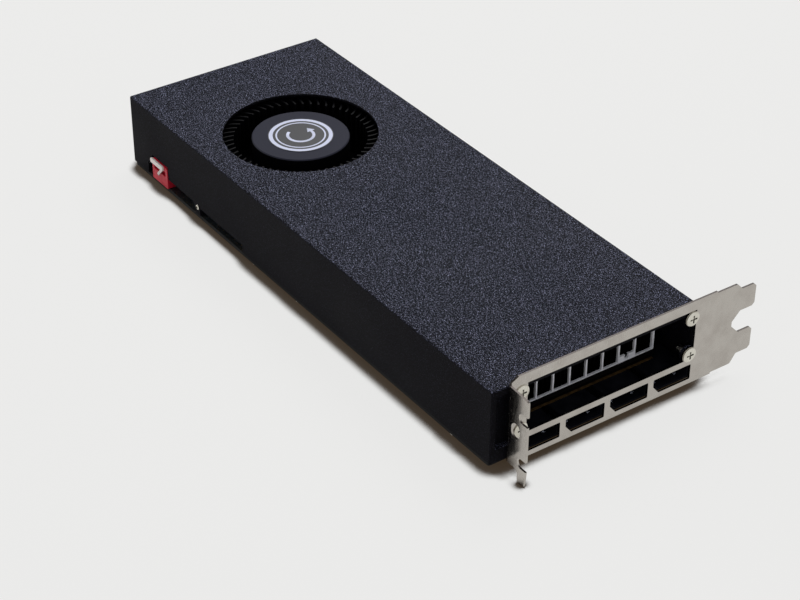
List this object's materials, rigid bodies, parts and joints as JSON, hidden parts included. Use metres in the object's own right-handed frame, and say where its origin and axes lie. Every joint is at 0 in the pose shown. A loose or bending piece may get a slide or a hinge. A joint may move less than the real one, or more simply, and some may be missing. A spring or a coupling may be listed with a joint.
{
  "type": "accelerator card",
  "caption": "Dual-slot accelerator card: full-length shroud with a radial blower, finned heat sink, mounting bracket with display sockets and a card-edge connector.",
  "frame": {"origin": "middle of the key notch in the card-edge connector, at the contact tips, on the board's component side", "axes": "+X along the card to the mounting bracket, +Y out of the card-edge connector, +Z from the board up through the cooler"},
  "size_m": [0.2781, 0.1282, 0.0424],
  "materials": {
    "shroud": "fine-grained powder coat with a pale fleck",
    "board": "black solder mask, satin",
    "gold": "hard gold plating, polished",
    "bracket": "satin zinc-plated sheet",
    "nickel": "bright nickel plating",
    "socket_shell": "dull nickel-plated shell",
    "black_plastic": "moulded, fine grain",
    "fan_plastic": "moulded, satin",
    "badge": "smooth badge blank with a pale ring",
    "copper": "bare copper",
    "bronze": "sintered bronze",
    "aluminium": "mill finish",
    "substrate": "laminate",
    "silicon": "polished",
    "thermal_pad": "soft, matte",
    "ferrite": "pressed powder",
    "lamination": "bare electrical steel",
    "ivory_plastic": "moulded, satin",
    "red_plastic": "moulded, satin",
    "spring_steel": "black oxide",
    "black_screw": "black zinc"
  },
  "bodies": {
    "card": {"shroud": "shroud", "circuit_board": "board", "edge_contacts": "gold", "io_bracket": "bracket", "bracket_screws": "nickel", "display_shell_1": "socket_shell", "display_shell_2": "socket_shell", "display_shell_3": "socket_shell", "display_shell_4": "socket_shell", "display_insert_1": "black_plastic", "display_insert_2": "black_plastic", "display_insert_3": "black_plastic", "display_insert_4": "black_plastic", "display_contacts": "gold", "socket_ground_strip": "copper", "sink_plate": "copper", "fin_stack": "aluminium", "outlet_guide": "aluminium", "processor_substrate": "substrate", "processor_die": "silicon", "memory_chips": "black_plastic", "memory_pads": "thermal_pad", "power_chokes": "ferrite", "capacitors": "aluminium", "power_stages": "black_plastic", "fan_header": "ivory_plastic", "power_socket": "black_plastic", "power_pins": "nickel", "side_connector": "red_plastic", "side_connector_clip": "ivory_plastic", "blower_housing": "black_plastic", "bearing_sleeve": "bronze", "motor_board": "board", "motor_stator": "lamination", "stator_windings": "copper", "retention_plate": "spring_steel", "retention_screws": "black_screw", "shroud_screws": "nickel", "blower_screws": "nickel", "side_screw": "nickel"},
    "fan": {"impeller": "fan_plastic", "rotor_cup": "lamination", "magnet_ring": "ferrite", "fan_shaft": "nickel", "hub_label": "badge"}
  },
  "joints": [
    {"name": "fan_spin", "type": "hinge", "parent": "card", "child": "fan", "pos_m": [-0.138, -0.06635, 0.012], "axis": [0, 0, 1], "continuous": true}
  ]
}
